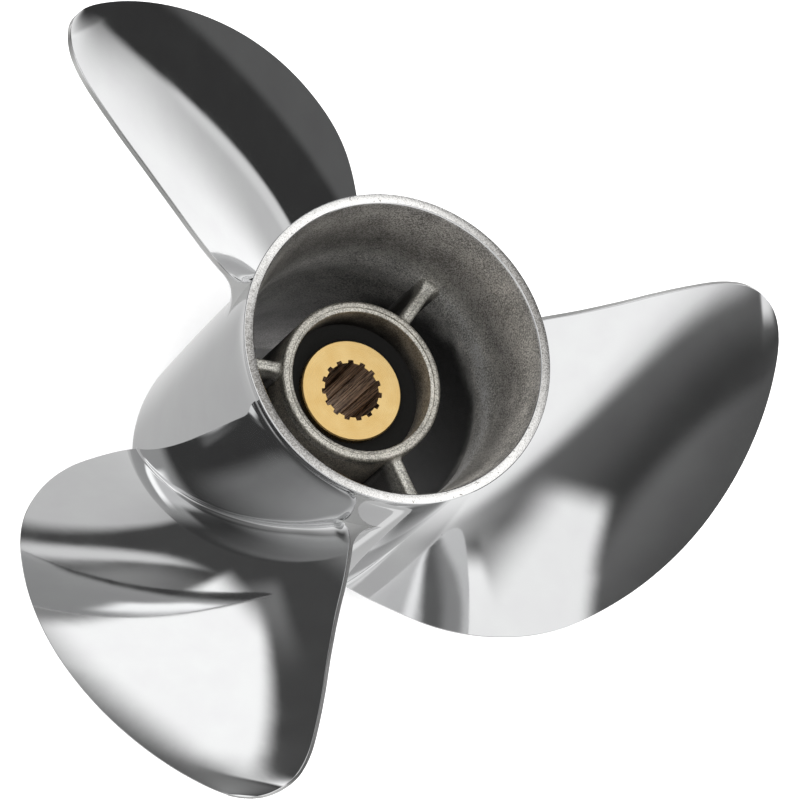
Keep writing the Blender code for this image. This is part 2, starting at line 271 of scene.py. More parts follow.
def tube_radius(z):
    """Returns the hub tube's outer radius at a height."""
    return mix(TUBE_RADIUS_BOTTOM, TUBE_RADIUS_TOP, (z - TUBE_BOTTOM) / (TUBE_TOP - TUBE_BOTTOM))


def turned(name, profile, slots):
    """Turns a closed profile of (r, z) points round the shaft axis. Slots gives the material
    number of the stretch that follows each profile point."""
    profile = np.array(profile)
    turns = 2 * math.pi * np.arange(RING_STEPS) / RING_STEPS
    loops = np.empty((RING_STEPS, len(profile), 3))
    loops[..., 0] = np.cos(turns)[:, None] * profile[:, 0]
    loops[..., 1] = np.sin(turns)[:, None] * profile[:, 0]
    loops[..., 2] = profile[:, 1]
    return finish_mesh(name, skin(name, loops, closed=True, slots=np.tile(slots, RING_STEPS)))


def make_shell():
    """The barrel and its flare: polished outside, machined on the rim, blasted in the flare."""
    corner = FRONT_RADIUS - FRONT_ROUNDING
    outer = arc(corner, FRONT_ROUNDING, FRONT_ROUNDING, -90, 0, 2 * ARC_STEPS)
    side = BARREL_LENGTH - RIM_CROWN - RIM_ROUNDING
    heights = np.linspace(FRONT_STRAIGHT, side, BARREL_STEPS)
    outer += [(float(barrel_radius(z)), z) for z in heights]
    outer += arc(RIM_RADIUS - RIM_ROUNDING, side, RIM_ROUNDING, *RIM_OUTER_EDGE, CORNER_STEPS)
    half = (RIM_RADIUS - RIM_INNER_RADIUS - 2 * RIM_ROUNDING) / 2
    rim = []
    for share in np.linspace(-1, 1, RIM_STEPS):
        r = mix(RIM_INNER_RADIUS, RIM_RADIUS, 0.5) - share * half
        rim.append((r, BARREL_LENGTH - RIM_CROWN * share**2))
    edge = RIM_INNER_RADIUS + RIM_ROUNDING
    bead = arc(edge, side, RIM_ROUNDING, *RIM_INNER_EDGE, CORNER_STEPS)
    flare = [(passage_radius(z), z) for z in np.linspace(side, PASSAGE_HEIGHT, FLARE_STEPS)]
    flare.append((PASSAGE_RADIUS, 0.0))
    slots = [0] * len(outer) + [1] * len(rim) + [0] * len(bead) + [2] * (len(flare) - 1) + [0]
    return turned("propeller_barrel", outer + rim + bead + flare, slots)


def make_hub_tube():
    """The inner tube that carries the bush, its lip rounded outside with a turned step inside."""
    lip = TUBE_TOP - TUBE_LIP_ROUNDING
    outer_r = tube_radius(lip)
    below = lip - LIP_BAND
    heights = np.linspace(TUBE_BOTTOM, below - LIP_BAND_SEAM, TUBE_STEPS)
    wall = [(tube_radius(z), z) for z in heights]
    band = [(tube_radius(below), below)]
    band += arc(outer_r - TUBE_LIP_ROUNDING, lip, TUBE_LIP_ROUNDING, 0, 90)
    step = TUBE_TOP - LIP_STEP
    floor = step - LIP_GROOVE_DEPTH
    groove, inside = LIP_GROOVE_RADIUS, LIP_GROOVE_RADIUS - LIP_GROOVE_WIDTH
    band += [
        (groove, TUBE_TOP),
        (groove - LIP_GROOVE_SLANT, floor),
        (inside + LIP_GROOVE_SLANT, floor),
        (inside, step),
    ]
    band += [(TUBE_BORE_RADIUS + out * MM, step - down * MM) for out, down in LIP_BORE_EDGE]
    bore = [(TUBE_BORE_RADIUS, BUSH_TOP + BORE_RING), (TUBE_BORE_RADIUS, TUBE_BOTTOM)]
    slots = [0] * (len(wall) - 1) + [1] * len(band) + [0] * (len(bore) + 1)
    return turned("hub_inner_tube", wall + band + bore, slots)


def make_bush():
    """The rubber ring, its aft face slightly dished."""
    inner, outer = SLEEVE_RADIUS, TUBE_BORE_RADIUS
    faces = []
    for share in np.linspace(0, 1, DISH_STEPS):
        dish = BUSH_DISH * math.sin(math.pi * share)
        faces.append((mix(outer, inner, share), BUSH_TOP - dish))
    profile = [(outer, BUSH_BOTTOM)] + faces + [(inner, BUSH_BOTTOM)]
    return turned("hub_bush", profile, [0] * len(profile))


def spline_sector():
    """One fifteenth of the brass sleeve, with one notch of its bore, open at both sides. The
    bore takes the second finish."""
    pitch = 2 * math.pi / SPLINE_COUNT
    corners = [
        (-0.5, SPLINE_MINOR_RADIUS),
        (-SPLINE_MOUTH_SHARE, SPLINE_MINOR_RADIUS),
        (-SPLINE_FLOOR_SHARE, SPLINE_MAJOR_RADIUS),
        (0.0, SPLINE_MAJOR_RADIUS),
        (SPLINE_FLOOR_SHARE, SPLINE_MAJOR_RADIUS),
        (SPLINE_MOUTH_SHARE, SPLINE_MINOR_RADIUS),
        (0.5, SPLINE_MINOR_RADIUS),
    ]
    edge = SLEEVE_BORE_EDGE
    stations = [
        ("bore", 0.0, SLEEVE_BOTTOM),
        ("bore", 0.0, SLEEVE_TOP - edge),
        ("bore", edge, SLEEVE_TOP),
        ("outside", -SLEEVE_CHAMFER, SLEEVE_TOP),
        ("outside", 0.0, SLEEVE_TOP - SLEEVE_CHAMFER),
        ("outside", 0.0, SLEEVE_BOTTOM + SLEEVE_CHAMFER),
        ("outside", -SLEEVE_CHAMFER, SLEEVE_BOTTOM),
    ]
    points, faces = [], []
    for share, radius in corners:
        angle = share * pitch
        for side, grow, z in stations:
            r = (radius if side == "bore" else SLEEVE_RADIUS) + grow
            points.append((r * math.cos(angle), r * math.sin(angle), z))
    n = len(stations)
    for i in range(len(corners) - 1):
        for j in range(n):
            k = (j + 1) % n
            faces.append((i * n + j, i * n + k, (i + 1) * n + k, (i + 1) * n + j))
    mesh = bpy.data.meshes.new("sleeve_sector")
    mesh.from_pydata(points, [], faces)
    for face in mesh.polygons:
        face.material_index = int(face.index % n == 0)
    return mark_second_finish(mesh)


def rib_mesh():
    """One rib, from the hub tube to the barrel, with a flat crest and a wide head at the barrel."""
    half = RIB_THICKNESS / 2
    loops = []
    shoulder = RIB_TOP - RIB_CREST_ROUNDING
    stations = [(z, 0.0) for z in np.linspace(RIB_BOTTOM, shoulder, RIB_ROWS)]
    for turn in np.linspace(0, math.pi / 2, RIB_CREST_STEPS + 1)[1:]:
        stations.append((RIB_TOP - RIB_CREST_ROUNDING * (1 - math.sin(turn)), turn))
    for z, turn in stations:
        inner_r, outer_r = tube_radius(z) - RIB_SINK, passage_radius(z) + RIB_SINK
        side = []
        for share in (1 - np.cos(np.linspace(0, math.pi, RIB_LENGTH_STEPS))) / 2:
            x = mix(inner_r, outer_r, share)
            near_tube = max(0.0, 1 - (x - inner_r) / RIB_FILLET)
            near_barrel = max(0.0, 1 - (outer_r - x) / RIB_HEAD_FILLET)
            flare = RIB_FILLET * (1 - math.sqrt(1 - near_tube**2))
            flare += RIB_HEAD_FILLET * (1 - math.sqrt(1 - near_barrel**2))
            wide = (half + flare * RIB_FLARE) * math.sqrt(max(math.cos(turn), 0.0))
            rise = flare * RIB_FLARE * math.sin(turn)
            side.append((x, max(wide, RIB_LEAST_HALF), z + rise))
        loops.append(side + [(x, -y, h) for x, y, h in reversed(side)])
    return skin("rib", loops)


def edge_angles(share):
    """Returns the leading and trailing edge angles by a smooth curve through the outline."""
    edges = np.array(BLADE_EDGES)
    last = len(edges) - 1
    place = np.clip(share, 0.0, 1.0) * last
    i = np.minimum(place.astype(int), last - 1)
    t = (place - i)[:, None]
    padded = np.vstack([2 * edges[0] - edges[1], edges, 2 * edges[-1] - edges[-2]])
    before, start, end, after = (padded[i + k] for k in range(4))
    start_slope, end_slope = (end - before) / 2, (after - start) / 2
    angles = start * (2 * t**3 - 3 * t**2 + 1) + start_slope * (t**3 - 2 * t**2 + t)
    angles += end * (3 * t**2 - 2 * t**3) + end_slope * (t**3 - t**2)
    return np.radians(angles).T


def face_height(radius, angle):
    """Returns the height of the helix that the blade's aft face follows."""
    out = (radius - RAKE_RADIUS) / RAKE_SPAN
    pitch = sum(value * out**power for power, value in enumerate(PITCH))
    rake = sum(value * out**power for power, value in enumerate(RAKE))
    return pitch * (angle - math.radians(RAKE_ANGLE)) / (2 * math.pi) + rake


def fillet_sizes(keys, share):
    """Returns a fillet's width, height and hollow at shares of the chord, by its listed sizes."""
    keys = np.array(keys)
    place = np.clip(np.searchsorted(keys[:, 0], share, side="right") - 1, 0, len(keys) - 2)
    start, end = keys[place], keys[place + 1]
    part = ease((share - start[:, 0]) / (end[:, 0] - start[:, 0]))
    wide, tall, hollow = (start + (end - start) * part[:, None])[:, 1:].T
    return wide * MM, tall * MM, hollow


def fillet_growth(heights, wide, tall, hollow):
    """Returns how far a root fillet stands out from the blade, at rows of heights."""
    share = np.clip(1 - heights[:, None] / tall, 0.0, 1.0)
    return wide * mix(share**2, 1 - np.sqrt(1 - share**2), hollow)


def normals_of(line):
    """Returns unit normals on the left of each row of a line of points."""
    along = np.gradient(line, axis=1)
    along /= np.linalg.norm(along, axis=2, keepdims=True) + 1e-12
    return np.stack([-along[..., 1], along[..., 0]], -1)


def blade_mesh():
    """One blade, as closed loops of points at rising heights above the barrel. Each loop runs
    along the aft face, round the flat trailing edge, and back along the forward side."""
    reach = TIP_RADIUS - FRONT_RADIUS - OUTLINE_TRIM
    heights = list(ROOT_ZONE * np.linspace(0, 1, ROOT_ROWS) ** 2)
    turns = np.linspace(math.asin(ROOT_ZONE / reach), math.radians(LAST_ROW_ANGLE), SPAN_ROWS)
    heights += list(reach * np.sin(turns)[1:])
    heights = np.array(heights)
    radius = FRONT_RADIUS + heights
    out = heights / reach
    lead, trail = edge_angles(np.arcsin(np.clip(out, 0, 1)) / (math.pi / 2))
    start = np.stack([radius * lead, face_height(radius, lead)], 1)
    end = np.stack([radius * trail, face_height(radius, trail)], 1)
    along = (end - start) / np.linalg.norm(end - start, axis=1, keepdims=True)
    small = np.minimum(1.0, np.linalg.norm(end - start, axis=1) / SMALL_CHORD)
    start = start + along * (OUTLINE_TRIM * small)[:, None]
    end = end - along * (OUTLINE_TRIM * small)[:, None]
    chord = end - start
    length = np.linalg.norm(chord, axis=1)
    aft = np.stack([-along[:, 1], along[:, 0]], 1)
    narrow = np.minimum(1.0, length / FULL_CHORD)
    middle = mix(ROOT_THICKNESS, TIP_THICKNESS, out)
    cup = mix(CUP_AT_ROOT, CUP_AT_TIP, out) * narrow
    c = (1 - np.cos(math.pi * np.arange(CHORD_STEPS + 1) / CHORD_STEPS)) / 2
    corner = EDGE_ROUNDING * small
    slant = TRAILING_EDGE_SLANT * small
    te = TRAILING_EDGE_THICKNESS

    def surface(shares, depth):
        """Returns points at shares of the chord, sunk under the aft face by a depth."""
        point = start[:, None] + chord[:, None] * shares[..., None]
        point[..., 1] += cup[:, None] * np.clip(shares, 0, None) ** CUP_POWER
        return point - aft[:, None] * depth[..., None]

    edge = mix(LEADING_EDGE_THICKNESS, te, c)[None, :]
    thick = edge + (middle[:, None] - edge) * 4 * (c * (1 - c))[None, :] * narrow[:, None]
    nose = (LEADING_EDGE_THICKNESS / 2 * small / length)[:, None] * (1 - c)
    face = surface(nose + c * (1 - corner / length)[:, None], 0 * thick)
    back = surface(nose + c * (1 + (slant - corner) / length)[:, None], thick)

    # flat trailing edge between two rounded corners
    turn = np.linspace(0, math.pi / 2, CORNER_STEPS + 1)
    front_turn, back_turn = turn[None, 1:-1], turn[None, 1:-1] + math.pi / 2
    deep, size = corner[:, None], length[:, None]
    front = surface(1 - deep * (1 - np.sin(front_turn)) / size, deep * (1 - np.cos(front_turn)))
    share = np.array(STRIP_SHARES)[None]
    strip = surface(1 + slant[:, None] * share / size, mix(deep, te - deep, share))
    inward = slant[:, None] - deep * (1 - np.sin(back_turn))
    rear = surface(1 + inward / size, te - deep - deep * np.cos(back_turn))
    cap = np.concatenate([front, strip, rear], 1)
    arm = (face[:, :1] - back[:, :1]) / 2
    lead_turn = np.linspace(math.pi, 0, ARC_STEPS + 1)[1:-1][None, :, None]
    bulge = -along[:, None] * np.linalg.norm(arm, axis=2, keepdims=True)
    nose_arc = (face[:, :1] + back[:, :1]) / 2 + arm * np.cos(lead_turn) + bulge * np.sin(lead_turn)

    # root fillets, and the flat web that the trailing edge widens to
    web = strip[:, -1:] - strip[:, :1]
    web /= np.linalg.norm(web, axis=2, keepdims=True)
    turned_in = ease((c - 1 + WEB_BLEND) / WEB_BLEND)[None, :, None]
    face_way = mix(normals_of(face), -web, turned_in)
    back_way = mix(-normals_of(back), web, turned_in)
    face_grown = face_way * fillet_growth(heights, *fillet_sizes(FACE_FILLET, c))[..., None]
    back_grown = back_way * fillet_growth(heights, *fillet_sizes(BACK_FILLET, c))[..., None]
    place = np.concatenate([0 * front_turn, share, 0 * back_turn + 1], 1)[..., None]
    cap_grown = mix(face_grown[:, -1:], back_grown[:, -1:], place)
    nose_share = (1 + np.cos(lead_turn)) / 2
    nose_grown = mix(back_grown[:, :1], face_grown[:, :1], nose_share)
    ahead = fillet_growth(heights, LEADING_FILLET_WIDTH, LEADING_FILLET_HEIGHT, 1.0)
    nose_grown = nose_grown - along[:, None] * ahead[..., None] * np.sin(lead_turn)
    face, cap, nose = face + face_grown, cap + cap_grown, nose_arc + nose_grown
    loop = np.concatenate([face, cap, (back + back_grown)[:, ::-1], nose], 1)

    # skirt just under the barrel's skin
    across = np.roll(loop[:1], -1, 1) - np.roll(loop[:1], 1, 1)
    across /= np.linalg.norm(across, axis=2, keepdims=True) + 1e-12
    skirt = loop[:1] + np.stack([-across[..., 1], across[..., 0]], -1) * SKIRT_WIDTH
    loop = np.concatenate([skirt, loop], 0)
    heights = np.concatenate([[-SKIRT_DEPTH], heights])
    radius = np.concatenate([radius[:1], radius])
    z = loop[..., 1]
    angle = loop[..., 0] / radius[:, None]
    follow = (1 - ease(heights / FOLLOW_HEIGHT))[:, None]
    place = (FRONT_RADIUS + heights)[:, None] + (barrel_radius(z) - FRONT_RADIUS) * follow
    points = np.stack([place * np.cos(angle), place * np.sin(angle), z], -1)
    sizes = len(c), cap.shape[1]
    closed = np.concatenate([folded(points[0], *sizes), points, folded(points[-1], *sizes)], 0)
    strip_faces = np.zeros(closed.shape[:2], bool)
    first = len(c) + front.shape[1]
    strip_faces[1:-2, first : first + len(STRIP_SHARES) - 1] = True
    return skin("blade", closed, slots=strip_faces[:-1].ravel())


def folded(row, n_face, n_cap):
    """Returns a loop whose two sides lie on the middle line between them, which closes an end."""
    face = row[:n_face]
    back = row[n_face + n_cap : n_face + n_cap + n_face][::-1]
    line = (face + back) / 2
    caps = np.repeat(line[-1:], n_cap, 0)
    nose = np.repeat(line[:1], len(row) - 2 * n_face - n_cap, 0)
    return np.concatenate([line, caps, line[::-1], nose])[None]


def linear(hex_colour):
    """Returns the linear RGBA of an sRGB hex colour."""
    values = [int(hex_colour[i : i + 2], 16) / 255 for i in (1, 3, 5)]
    return (*(v / 12.92 if v <= 0.04045 else ((v + 0.055) / 1.055) ** 2.4 for v in values), 1.0)


def wire(tree, node, settings):
    """Sets a node up. Each setting is an attribute, or an input by its name with underscores for
    spaces, or by its number after an i. A socket is linked, and so is a node, by its output."""
    for key, value in settings.items():
        if hasattr(node, key):
            setattr(node, key, value)
            continue
        numbered = key[0] == "i" and key[1:].isdigit()
        socket = node.inputs[int(key[1:]) if numbered else key.replace("_", " ")]
        if isinstance(value, bpy.types.Node):
            value = next(output for output in value.outputs if output.enabled)
        if isinstance(value, bpy.types.NodeSocket):
            tree.links.new(value, socket)
        else:
            socket.default_value = value


def add_node(tree, kind, **settings):
    """Adds a node with its settings and links. A kind with no prefix is a shader node's."""
    node = tree.nodes.new(kind if kind.startswith("GeometryNode") else "ShaderNode" + kind)
    wire(tree, node, settings)
    return node


def repeat_tree():
    """Geometry Nodes that repeat a shape round the Z axis and merge what meets."""
    tree = bpy.data.node_groups.new("repeat_round_axis", "GeometryNodeTree")
    for name, kind in (
        ("Geometry", "Geometry"),
        ("Count", "Int"),
        ("First Angle", "Float"),
        ("Merge Distance", "Float"),
        ("Finish", "Material"),
        ("Second Finish", "Material"),
    ):
        tree.interface.new_socket(name, in_out="INPUT", socket_type="NodeSocket" + kind)
    tree.interface.new_socket("Geometry", in_out="OUTPUT", socket_type="NodeSocketGeometry")
    source = tree.nodes.new("NodeGroupInput").outputs
    index = add_node(tree, "GeometryNodeInputIndex")
    step = add_node(tree, "Math", operation="DIVIDE", i0=2 * math.pi, i1=source["Count"])
    turn = add_node(
        tree, "Math", operation="MULTIPLY_ADD", i0=index, i1=step, i2=source["First Angle"]
    )
    axis = add_node(tree, "CombineXYZ", Z=turn)
    points = add_node(tree, "GeometryNodePoints", Count=source["Count"])
    copies = add_node(
        tree, "GeometryNodeInstanceOnPoints",
        Points=points, Instance=source["Geometry"], Rotation=axis,
    )
    real = add_node(tree, "GeometryNodeRealizeInstances", Geometry=copies)
    merged = add_node(
        tree, "GeometryNodeMergeByDistance", Geometry=real, Distance=source["Merge Distance"]
    )
    first = add_node(
        tree, "GeometryNodeSetMaterial", Geometry=merged, Material=source["Finish"]
    )
    marked = add_node(
        tree, "GeometryNodeInputNamedAttribute", data_type="BOOLEAN", Name=SECOND_FINISH
    )
    second = add_node(
        tree, "GeometryNodeSetMaterial",
        Geometry=first, Selection=marked, Material=source["Second Finish"],
    )
    target = tree.nodes.new("NodeGroupOutput")
    tree.links.new(second.outputs[0], target.inputs[0])
    return tree


def repeated(name, mesh, tree, count, finishes, first_angle=0.0):
    """Returns a plain object of a mesh repeated round the axis by the node tree."""
    seed = bpy.data.objects.new(name, mesh)
    bpy.context.scene.collection.objects.link(seed)
    modifier = seed.modifiers.new("repeat", "NODES")
    modifier.node_group = tree
    values = {
        "Count": count,
        "First Angle": math.radians(first_angle),
        "Merge Distance": COPY_MERGE,
        "Finish": finishes[0],
        "Second Finish": finishes[-1],
    }
    for item in tree.interface.items_tree:
        if item.in_out == "INPUT" and item.name in values:
            modifier[item.identifier] = values[item.name]
    bpy.context.view_layer.update()
    depsgraph = bpy.context.evaluated_depsgraph_get()
    result = bpy.data.meshes.new_from_object(seed.evaluated_get(depsgraph))
    bpy.data.objects.remove(seed)
    shape = bmesh.new()
    shape.from_mesh(result)
    bmesh.ops.recalc_face_normals(shape, faces=shape.faces)
    shape.to_mesh(result)
    shape.free()
    result.name = name
    return finish_mesh(name, result)


def mark_second_finish(mesh):
    """Keeps each face's material number as an attribute, which the repeat tree reads."""
    marks = mesh.attributes.new(SECOND_FINISH, "BOOLEAN", "FACE")
    numbers = np.empty(len(mesh.polygons), np.int32)
    mesh.polygons.foreach_get("material_index", numbers)
    marks.data.foreach_set("value", numbers.astype(bool))
    return mesh


# Patterns, in millimetres. A dot of the picture is about 0.4 mm on the propeller, so the marks of
# buffing, grit, lathe, belt and broach are drawn as coarse as they need to show. Each material
# says how fine the real marks are.
NOISE_SPAN = {"From_Min": 0.3, "From_Max": 0.7}
ROUGHNESS_SPREAD = 0.08
SOOT_AND_SHADE_WANDER = 10
CLOUD_WEIGHT = 0.25
RIM_GRAIN_WEIGHT = 1.4
BRASS_RING_WIDTH = 0.35

# Clean colours of the blasted castings, by height in millimetres
WALL_TONES = (
    (20, "#838180"),
    (47, "#767472"),
    (60, "#9a9895"),
    (84, "#c0beba"),
    (108, "#c3c1bd"),
    (121, "#dbd9d5"),
    (130, "#a9a7a3"),
    (137, "#979592"),
    (145, "#9e9c99"),
    (157, "#b9b7b3"),
    (165, "#9f9d9a"),
)
TUBE_TONES = ((90, "#8d8780"), (120, "#b3ada3"))
LIP_TONES = ((118, "#bdbab2"), (124, "#b6b3ab"))
RIB_TONES = ((90, "#b5b3ac"), (124, "#bebcb5"))


def new_material(name):
    """Starts a material and returns it, its tree and the object's coordinates."""
    material = bpy.data.materials.new(name)
    material.use_nodes = True
    place = add_node(material.node_tree, "TexCoord").outputs["Object"]
    return material, material.node_tree, place


def finish_material(material, **settings):
    """Sets the shader's inputs and returns the material."""
    wire(material.node_tree, material.node_tree.nodes["Principled BSDF"], settings)
    return material


def speckle(tree, place, size, detail=2.0, rough=0.5, stretch=(1, 1, 1)):
    """Adds a noise of a feature size in millimetres, stretched along the axes."""
    scale = tuple(1 / (size * MM * s) for s in stretch)
    spread = add_node(tree, "Mapping", vector_type="POINT", Vector=place, Scale=scale)
    return add_node(tree, "TexNoise", Vector=spread, Scale=1.0, Detail=detail, Roughness=rough)


def polished_steel():
    """Stainless steel, buffed to a mirror: reads as sharp reflections of the studio, with hair
    scratches of the buffing wheel and a faint haze that changes from place to place. The real
    scratches are about 0.02 mm wide."""
    material, tree, place = new_material("mirror_polished_stainless")
    haze = speckle(tree, place, size=14.0, detail=3.0)
    hairs = speckle(tree, place, size=0.12, detail=1.0, stretch=(1, 1, 90))
    share = add_node(tree, "MapRange", Value=haze, **NOISE_SPAN)
    dull, bright = linear("#cbcbcc"), linear("#cecfcf")
    smear = add_node(tree, "Mix", data_type="RGBA", i0=share, i6=dull, i7=bright)
    rough = add_node(
        tree, "MapRange", Value=haze, From_Min=0.3, From_Max=0.75, To_Min=0.03, To_Max=0.06
    )
    waves = add_node(tree, "Bump", Height=haze, Distance=0.008 * MM)
    scratches = add_node(tree, "Bump", Height=hairs, Distance=0.00006 * MM, Normal=waves)
    return finish_material(
        material, Metallic=1.0, Base_Color=smear, Roughness=rough, Normal=scratches
    )


def ground_edge():
    """Stainless steel, ground flat on a belt: reads as an even satin grey strip with fine lines.
    The real lines are about 0.1 mm wide."""
    material, tree, place = new_material("ground_stainless_edge")
    lines = speckle(tree, place, size=0.25, stretch=(1, 1, 12))
    dull, bright = linear("#a9a9a8"), linear("#c4c4c3")
    colour = add_node(tree, "Mix", data_type="RGBA", i0=lines, i6=dull, i7=bright)
    rough = add_node(tree, "MapRange", Value=lines, **NOISE_SPAN, To_Min=0.3, To_Max=0.42)
    relief = add_node(tree, "Bump", Height=lines, Distance=0.01 * MM)
    return finish_material(
        material, Metallic=1.0, Base_Color=colour, Roughness=rough, Normal=relief
    )


def machined_rim():
    """Stainless steel, faced on a lathe over the cast edge: reads as a bright satin ring with pits
    left in the grain. Two opposite sides of the ring are painted brighter and the sides between
    greyer, a painted reflection of how a lathe-cut ring catches the light. The real grain is
    about 0.2 mm wide."""
    material, tree, place = new_material("machined_stainless_rim")
    turn = math.radians(RIM_PAINTED_DARK_ANGLE)
    across = (math.sin(turn) / RIM_RADIUS, -math.cos(turn) / RIM_RADIUS, 0)
    side = add_node(tree, "VectorMath", operation="DOT_PRODUCT", i0=place, i1=across)
    side = side.outputs["Value"]
    # painted reflection: brightest at right angles to that angle, greyest along it
    painted_lathe_sheen = add_node(tree, "Math", operation="MULTIPLY", i0=side, i1=side)
    grain = speckle(tree, place, size=0.7, detail=3.0, rough=0.7)
    uneven = add_node(
        tree, "Math", operation="MULTIPLY_ADD", i0=grain, i1=RIM_GRAIN_WEIGHT, i2=painted_lathe_sheen
    )
    share = add_node(tree, "MapRange", Value=uneven, From_Min=0.6, From_Max=1.55)
    dull, bright, pitted = linear("#6e6c69"), linear("#e3e2e0"), linear("#8a8884")
    face = add_node(tree, "Mix", data_type="RGBA", i0=share, i6=dull, i7=bright)
    pits = speckle(tree, place, size=1.2, rough=0.6)
    pit = add_node(tree, "MapRange", Value=pits, From_Min=0.64, From_Max=0.7)
    colour = add_node(tree, "Mix", data_type="RGBA", i0=pit, i6=face, i7=pitted)
    rough = add_node(tree, "MapRange", Value=grain, **NOISE_SPAN, To_Min=0.2, To_Max=0.34)
    relief = add_node(tree, "Bump", Height=grain, Distance=0.1 * MM)
    return finish_material(
        material, Metallic=1.0, Base_Color=colour, Roughness=rough, Normal=relief
    )


def blasted_steel(name, tones, rough, soot_and_shade, clear, lean=(0, 0), painted_light_side=(0, 0), unshaded_x=None):
    """Cast stainless steel, shot blasted: reads as a dull warm grey with fine sandy grain, and
    goes dark lower down with soot and painted shade. The real grain is about 0.2 mm wide.
    Tones gives the clean colour by height in millimetres. Clear gives the heights between which
    the soot and painted shade end, lean how much higher they reach per millimetre along x and y,
    and painted_light_side how much lighter the wall is painted along them, as painted light.
    The pair unshaded_x gives the two x, in millimetres, between which the soot and painted shade
    fade out, leaving the wall clean at every height on the side out of the tube's shadow."""
    material, tree, place = new_material(name)
    grain = speckle(tree, place, size=0.65, detail=3.0, rough=0.7)
    cloud = speckle(tree, place, size=11.0)
    parts = add_node(tree, "SeparateXYZ", Vector=place).outputs

    # clean colour by height
    low, high = tones[0][0], tones[-1][0]
    level = add_node(
        tree, "MapRange", Value=parts["Z"], From_Min=low * MM, From_Max=high * MM
    )
    clean = add_node(tree, "ValToRGB", Fac=level)
    stops = clean.color_ramp.elements
    stops[0].color, stops[-1].color = linear(tones[0][1]), linear(tones[-1][1])
    for height, tone in tones[1:-1]:
        stops.new((height - low) / (high - low)).color = linear(tone)

    # sandy grain, and one side of the wall painted lighter, as painted light
    mixed = add_node(
        tree, "Math", operation="MULTIPLY_ADD", i0=cloud, i1=CLOUD_WEIGHT, i2=grain
    )
    sand = add_node(
        tree, "MapRange", Value=mixed, From_Min=0.52, From_Max=0.73, To_Min=0.5, To_Max=1.5
    )
    # painted light: the wall is painted lighter towards one side
    per_metre = (painted_light_side[0] / MM, painted_light_side[1] / MM, 0)
    side = add_node(tree, "VectorMath", operation="DOT_PRODUCT", i0=place, i1=per_metre)
    side = side.outputs["Value"]
    grain_and_side_light = add_node(tree, "Math", operation="MULTIPLY_ADD", i0=sand, i1=side, i2=sand)

    # tide line of the soot and painted shade, which reaches higher where the tube's shadow falls
    plane = (-lean[0], -lean[1], 1)
    leaning = add_node(tree, "VectorMath", operation="DOT_PRODUCT", i0=place, i1=plane)
    leaning = leaning.outputs["Value"]
    uneven = add_node(
        tree, "Math", operation="MULTIPLY_ADD", i0=cloud, i1=SOOT_AND_SHADE_WANDER * MM, i2=leaning
    )
    start, end = ((height + SOOT_AND_SHADE_WANDER / 2) * MM for height in clear)
    clear_of_soot_and_shade = add_node(
        tree, "MapRange", interpolation_type="SMOOTHSTEP",
        Value=uneven, From_Min=start, From_Max=end,
    )
    # the side out of the tube's shadow keeps no soot or painted shade at any height
    if unshaded_x:
        start, end = (x * MM for x in unshaded_x)
        unshaded_side = add_node(
            tree, "MapRange", interpolation_type="SMOOTHSTEP",
            Value=parts["X"], From_Min=start, From_Max=end,
        )
        clear_of_soot_and_shade = add_node(tree, "Math", operation="MAXIMUM", i0=clear_of_soot_and_shade, i1=unshaded_side)
    sooty_and_shaded = add_node(tree, "Mix", data_type="RGBA", i0=clear_of_soot_and_shade, i6=linear(soot_and_shade), i7=clean)
    colour = add_node(
        tree, "Mix", data_type="RGBA", blend_type="MULTIPLY", i0=1.0, i6=sooty_and_shaded, i7=grain_and_side_light
    )
    smooth, coarse = rough - ROUGHNESS_SPREAD, rough + ROUGHNESS_SPREAD
    spread = add_node(
        tree, "MapRange", Value=grain, **NOISE_SPAN, To_Min=smooth, To_Max=coarse
    )
    relief = add_node(tree, "Bump", Height=grain, Distance=0.18 * MM)
    return finish_material(
        material, Metallic=1.0, Base_Color=colour, Roughness=spread, Normal=relief
    )


def moulded_rubber():
    """Natural rubber, moulded: reads as near black and matt, with a faint grain. The real grain
    is about 0.1 mm wide."""
    material, tree, place = new_material("moulded_black_rubber")
    grain = speckle(tree, place, size=0.5)
    dark, light = linear("#0a0a09"), linear("#1a1917")
    colour = add_node(tree, "Mix", data_type="RGBA", i0=grain, i6=dark, i7=light)
    rough = add_node(tree, "MapRange", Value=grain, **NOISE_SPAN, To_Min=0.7, To_Max=0.9)
    relief = add_node(tree, "Bump", Height=grain, Distance=0.03 * MM)
    return finish_material(
        material, Specular_IOR_Level=0.25, Base_Color=colour, Roughness=rough, Normal=relief
    )


def turned_brass():
    """Naval brass, faced on a lathe: reads as warm satin gold with faint rings round the bore.
    The real rings are about 0.15 mm apart."""
    material, tree, place = new_material("turned_brass")
    flat = add_node(tree, "VectorMath", operation="MULTIPLY", i0=place, i1=(1, 1, 0))
    radius = add_node(tree, "VectorMath", operation="LENGTH", i0=flat)
    rings = add_node(tree, "Math", operation="DIVIDE", i0=radius, i1=BRASS_RING_WIDTH * MM)
    cut = add_node(tree, "TexNoise", noise_dimensions="1D", W=rings, Scale=1.0, Detail=2.0)
    stain = speckle(tree, place, size=6.0, detail=3.0)
    share = add_node(tree, "MapRange", Value=stain, **NOISE_SPAN)
    dull, bright, crest = linear("#bf9f64"), linear("#c7ab74"), linear("#d0b888")
    face = add_node(tree, "Mix", data_type="RGBA", i0=share, i6=dull, i7=bright)
    fine = add_node(tree, "MapRange", Value=cut, **NOISE_SPAN, To_Max=0.25)
    colour = add_node(tree, "Mix", data_type="RGBA", i0=fine, i6=face, i7=crest)
    rough = add_node(tree, "MapRange", Value=cut, **NOISE_SPAN, To_Min=0.26, To_Max=0.34)
    relief = add_node(tree, "Bump", Height=cut, Distance=0.001 * MM)
    return finish_material(
        material, Metallic=1.0, Base_Color=colour, Roughness=rough, Normal=relief
    )


